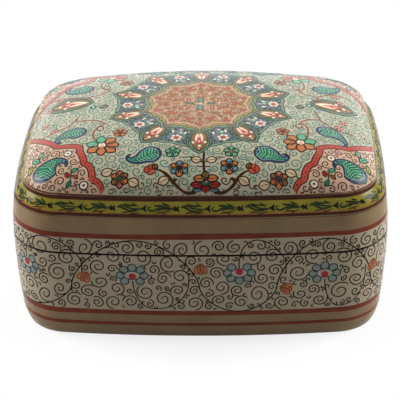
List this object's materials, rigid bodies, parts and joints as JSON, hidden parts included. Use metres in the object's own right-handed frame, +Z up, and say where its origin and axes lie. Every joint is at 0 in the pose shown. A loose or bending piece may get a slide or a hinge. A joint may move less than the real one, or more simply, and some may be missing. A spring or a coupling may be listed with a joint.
{
  "type": "lidded trinket box",
  "caption": "Small bowed wooden box with round corners and a lift-off domed lid on an inner lip, painted with traditional flowers and scrollwork, for jewellery or keepsakes.",
  "frame": {"origin": "centre of the underside, on the surface the box stands on", "axes": "+Z up, +X along the length, -Y towards the front that the picture shows"},
  "size_m": [0.15, 0.114, 0.077],
  "materials": {
    "carcass_wood": "black lacquer over wood",
    "lip_wood": "black lacquer over wood",
    "painted_coat": "hand-painted ground under clear varnish"
  },
  "bodies": {
    "base": {"base_front_wall": "carcass_wood", "base_back_wall": "carcass_wood", "base_left_wall": "carcass_wood", "base_right_wall": "carcass_wood", "base_floor": "carcass_wood", "lip_strip": "lip_wood", "base_coat": "painted_coat"},
    "lid": {"lid_front_rail": "carcass_wood", "lid_back_rail": "carcass_wood", "lid_left_rail": "carcass_wood", "lid_right_rail": "carcass_wood", "lid_crown": "carcass_wood", "lid_coat": "painted_coat"}
  },
  "joints": [
    {"name": "lid_lift", "type": "slide", "parent": "base", "child": "lid", "axis": [0, 0, 1], "range_m": [0, 0.06]}
  ]
}
